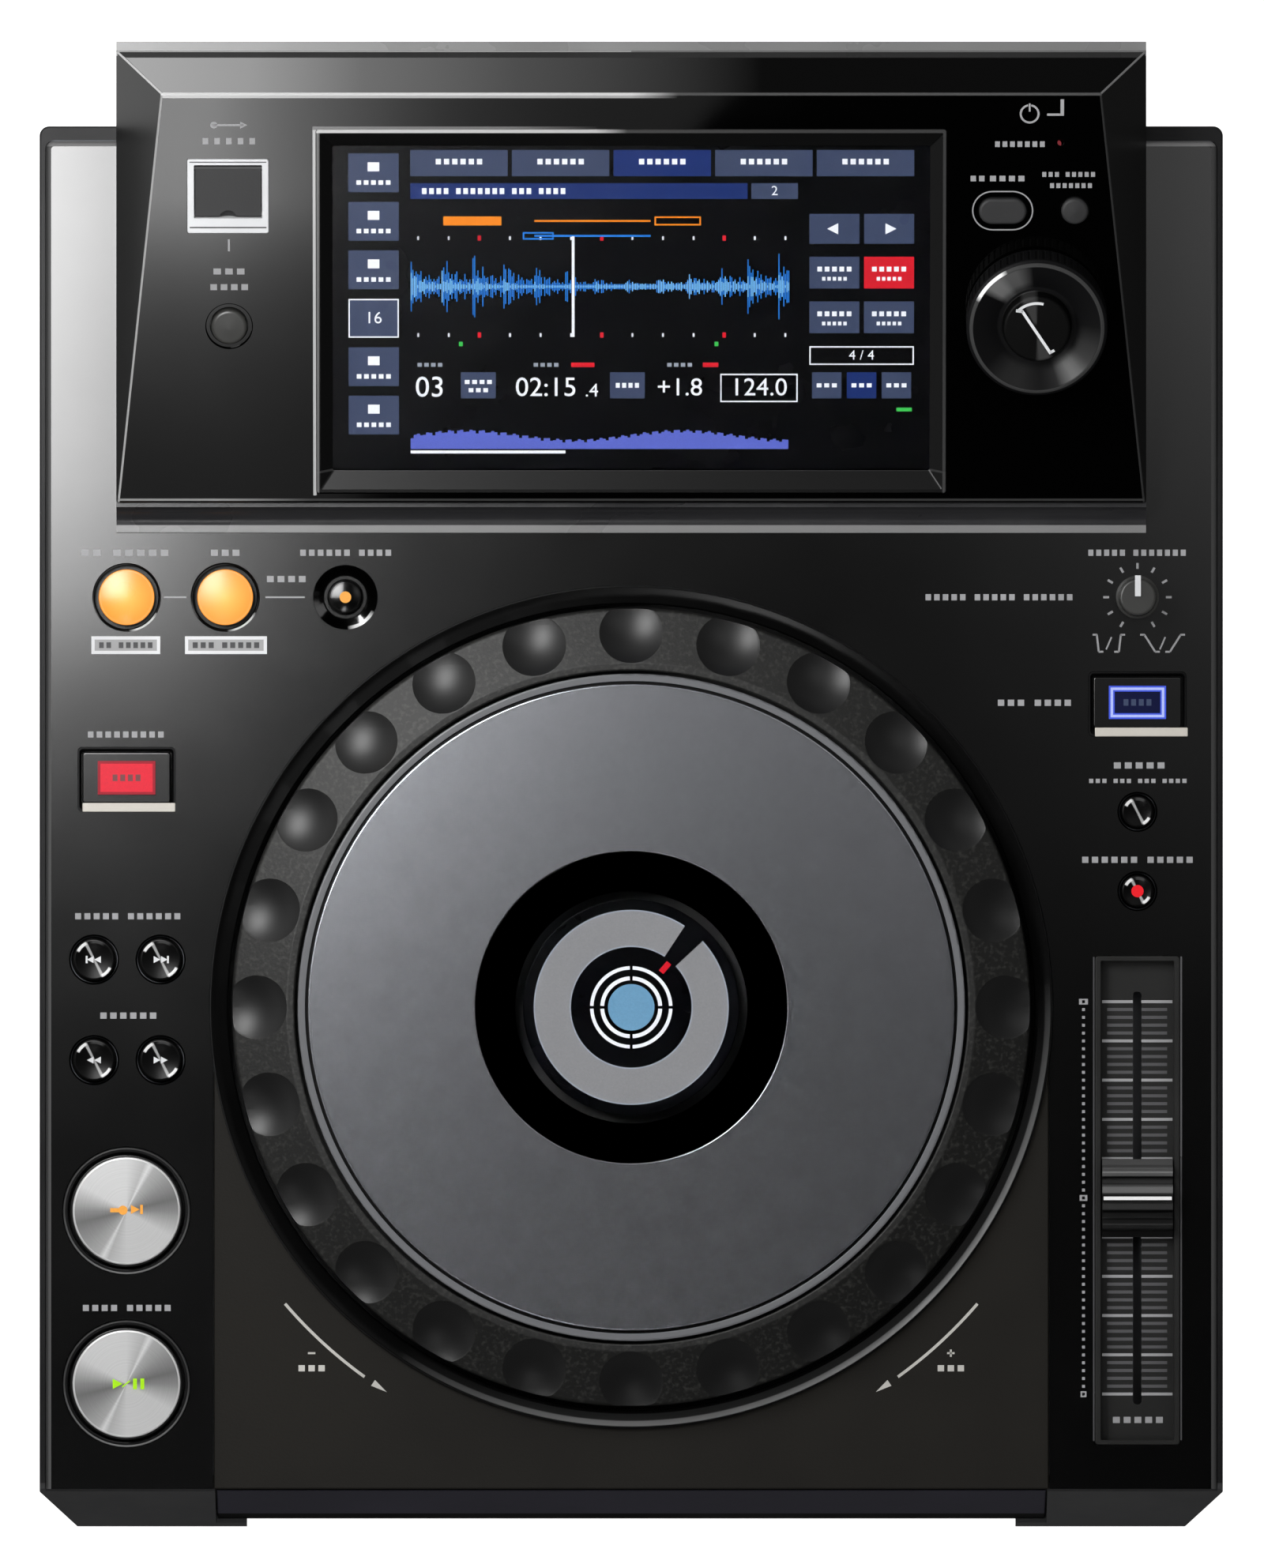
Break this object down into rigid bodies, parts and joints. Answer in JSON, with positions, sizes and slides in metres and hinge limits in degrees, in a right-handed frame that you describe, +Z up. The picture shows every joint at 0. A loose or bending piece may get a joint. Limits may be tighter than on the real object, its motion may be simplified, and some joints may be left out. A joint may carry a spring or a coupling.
{
  "type": "dj media player",
  "caption": "Tabletop media player for mixing: a press-and-spin jog wheel with a finger-dimpled rim, transport buttons, a pitch fader and a tilted touch screen with a browse knob.",
  "frame": {"origin": "on the table, under the middle of the outline seen from above", "axes": "+Z up, -Y towards the user, +Y towards the sockets, +X to the user's right; the length runs along Y"},
  "size_m": [0.306, 0.3844, 0.1076],
  "materials": {
    "case_black": "satin black",
    "panel_black": "gloss black",
    "panel_matte": "fine texture",
    "rubber_black": "matt",
    "plate_grey": "satin",
    "ring_black": "satin",
    "metal_disc": "spun",
    "chrome_small": "polished",
    "steel": "brushed",
    "rear_black": "satin",
    "glass_black": "polished",
    "screen_lit": "lit",
    "lamp_amber": "lit",
    "lamp_white": "lit",
    "board_green": "solder mask",
    "part_cream": "plain",
    "brass": "turned",
    "white_cap": "satin"
  },
  "bodies": {
    "base": {"ac_inlet": "rubber_black", "button_frames": "case_black", "case_screws": "steel", "centre_panel": "panel_matte", "control_boards": "board_green", "data_ports": "steel", "deck_chassis": "case_black", "display_cover": "panel_black", "display_plinth": "case_black", "fader_body": "steel", "fader_tray": "case_black", "feet": "rubber_black", "front_plate": "case_black", "jog_base": "ring_black", "jog_bezel": "panel_black", "jog_display": "screen_lit", "jog_sensor": "rubber_black", "lcd_panel": "screen_lit", "lower_case": "case_black", "main_board": "board_green", "power_board": "board_green", "rear_plate": "rear_black", "rotary_bodies": "steel", "screen_bezel": "case_black", "signal_jacks": "brass", "tact_switches": "part_cream", "top_panel": "panel_black", "touch_glass": "glass_black", "upper_case": "case_black", "usb_frame": "lamp_white", "usb_socket": "steel"},
    "jog_wheel": {"jog_hub": "ring_black", "jog_ring": "ring_black", "jog_slit_disc": "steel", "jog_bearing": "brass", "jog_touch_sheet": "part_cream"},
    "jog_top": {"jog_plate": "plate_grey", "jog_window": "glass_black"},
    "usb_lid": {"usb_lid": "case_black"},
    "usb_stop_button": {"usb_stop_button": "case_black"},
    "back_button": {"back_button": "case_black"},
    "tag_button": {"tag_button": "case_black"},
    "speed_knob": {"speed_knob": "case_black"},
    "browse_rotor": {"browse_rotor": "part_cream"},
    "browse_knob": {"browse_knob": "panel_black"},
    "fader_cap": {"fader_cap": "case_black"},
    "power_button": {"power_button": "case_black"},
    "loop_in_button": {"loop_in_button": "lamp_amber"},
    "loop_out_button": {"loop_out_button": "lamp_amber"},
    "reloop_button": {"reloop_button": "case_black"},
    "track_back_button": {"track_back_button": "chrome_small"},
    "track_forward_button": {"track_forward_button": "chrome_small"},
    "search_back_button": {"search_back_button": "chrome_small"},
    "search_forward_button": {"search_forward_button": "chrome_small"},
    "tempo_range_button": {"tempo_range_button": "case_black"},
    "master_tempo_button": {"master_tempo_button": "case_black"},
    "cue_button": {"cue_button": "metal_disc"},
    "play_button": {"play_button": "metal_disc"},
    "direction_button": {"direction_button": "rubber_black"},
    "jog_mode_button": {"jog_mode_button": "rubber_black"}
  },
  "joints": [
    {"name": "jog_spin", "type": "hinge", "parent": "base", "child": "jog_wheel", "pos_m": [0, -0.0574, 0.07], "axis": [0, 0, 1], "continuous": true},
    {"name": "jog_press", "type": "slide", "parent": "jog_wheel", "child": "jog_top", "axis": [0, 0, -1], "range_m": [0, 0.0004], "stiffness_N_per_m": 8000, "springref_m": -0.0008},
    {"name": "cue_push", "type": "slide", "parent": "base", "child": "cue_button", "axis": [0, 0, -1], "range_m": [0, 0.001], "stiffness_N_per_m": 400, "springref_m": -0.0008},
    {"name": "play_push", "type": "slide", "parent": "base", "child": "play_button", "axis": [0, 0, -1], "range_m": [0, 0.001], "stiffness_N_per_m": 400, "springref_m": -0.0008},
    {"name": "loop_in_push", "type": "slide", "parent": "base", "child": "loop_in_button", "axis": [0, 0, -1], "range_m": [0, 0.001], "stiffness_N_per_m": 250, "springref_m": -0.0006},
    {"name": "loop_out_push", "type": "slide", "parent": "base", "child": "loop_out_button", "axis": [0, 0, -1], "range_m": [0, 0.001], "stiffness_N_per_m": 250, "springref_m": -0.0006},
    {"name": "reloop_push", "type": "slide", "parent": "base", "child": "reloop_button", "axis": [0, 0, -1], "range_m": [0, 0.001], "stiffness_N_per_m": 250, "springref_m": -0.0006},
    {"name": "direction_push", "type": "slide", "parent": "base", "child": "direction_button", "axis": [0, 0, -1], "range_m": [0, 0.001], "stiffness_N_per_m": 250, "springref_m": -0.0006},
    {"name": "jog_mode_push", "type": "slide", "parent": "base", "child": "jog_mode_button", "axis": [0, 0, -1], "range_m": [0, 0.001], "stiffness_N_per_m": 250, "springref_m": -0.0006},
    {"name": "tempo_range_push", "type": "slide", "parent": "base", "child": "tempo_range_button", "axis": [0, 0, -1], "range_m": [0, 0.001], "stiffness_N_per_m": 250, "springref_m": -0.0006},
    {"name": "master_tempo_push", "type": "slide", "parent": "base", "child": "master_tempo_button", "axis": [0, 0, -1], "range_m": [0, 0.001], "stiffness_N_per_m": 250, "springref_m": -0.0006},
    {"name": "track_back_push", "type": "slide", "parent": "base", "child": "track_back_button", "axis": [0, 0, -1], "range_m": [0, 0.001], "stiffness_N_per_m": 250, "springref_m": -0.0006},
    {"name": "track_forward_push", "type": "slide", "parent": "base", "child": "track_forward_button", "axis": [0, 0, -1], "range_m": [0, 0.001], "stiffness_N_per_m": 250, "springref_m": -0.0006},
    {"name": "search_back_push", "type": "slide", "parent": "base", "child": "search_back_button", "axis": [0, 0, -1], "range_m": [0, 0.001], "stiffness_N_per_m": 250, "springref_m": -0.0006},
    {"name": "search_forward_push", "type": "slide", "parent": "base", "child": "search_forward_button", "axis": [0, 0, -1], "range_m": [0, 0.001], "stiffness_N_per_m": 250, "springref_m": -0.0006},
    {"name": "usb_stop_push", "type": "slide", "parent": "base", "child": "usb_stop_button", "axis": [0, 0.2826, -0.9592], "range_m": [0, 0.001], "stiffness_N_per_m": 250, "springref_m": -0.0006},
    {"name": "back_push", "type": "slide", "parent": "base", "child": "back_button", "axis": [0, 0.2826, -0.9592], "range_m": [0, 0.001], "stiffness_N_per_m": 250, "springref_m": -0.0006},
    {"name": "tag_push", "type": "slide", "parent": "base", "child": "tag_button", "axis": [0, 0.2826, -0.9592], "range_m": [0, 0.001], "stiffness_N_per_m": 250, "springref_m": -0.0006},
    {"name": "browse_turn", "type": "hinge", "parent": "base", "child": "browse_rotor", "pos_m": [0.1046, 0.12115, 0.09089], "axis": [0, -0.2826, 0.9592], "continuous": true},
    {"name": "browse_push", "type": "slide", "parent": "browse_rotor", "child": "browse_knob", "axis": [0, 0.2826, -0.9592], "range_m": [0, 0.0005], "stiffness_N_per_m": 900, "springref_m": -0.0008},
    {"name": "speed_turn", "type": "hinge", "parent": "base", "child": "speed_knob", "pos_m": [0.1309, 0.0486, 0.07], "axis": [0, 0, -1], "range_deg": [-150, 150]},
    {"name": "fader_slide", "type": "slide", "parent": "base", "child": "fader_cap", "axis": [0, -1, 0], "range_m": [-0.05, 0.05]},
    {"name": "power_push", "type": "slide", "parent": "base", "child": "power_button", "axis": [0, -1, 0], "range_m": [0, 0.002], "stiffness_N_per_m": 300, "springref_m": -0.001},
    {"name": "usb_lid_hinge", "type": "hinge", "parent": "base", "child": "usb_lid", "pos_m": [-0.104, 0.15916, 0.10094], "axis": [-1, 0, 0], "range_deg": [0, 92]}
  ]
}
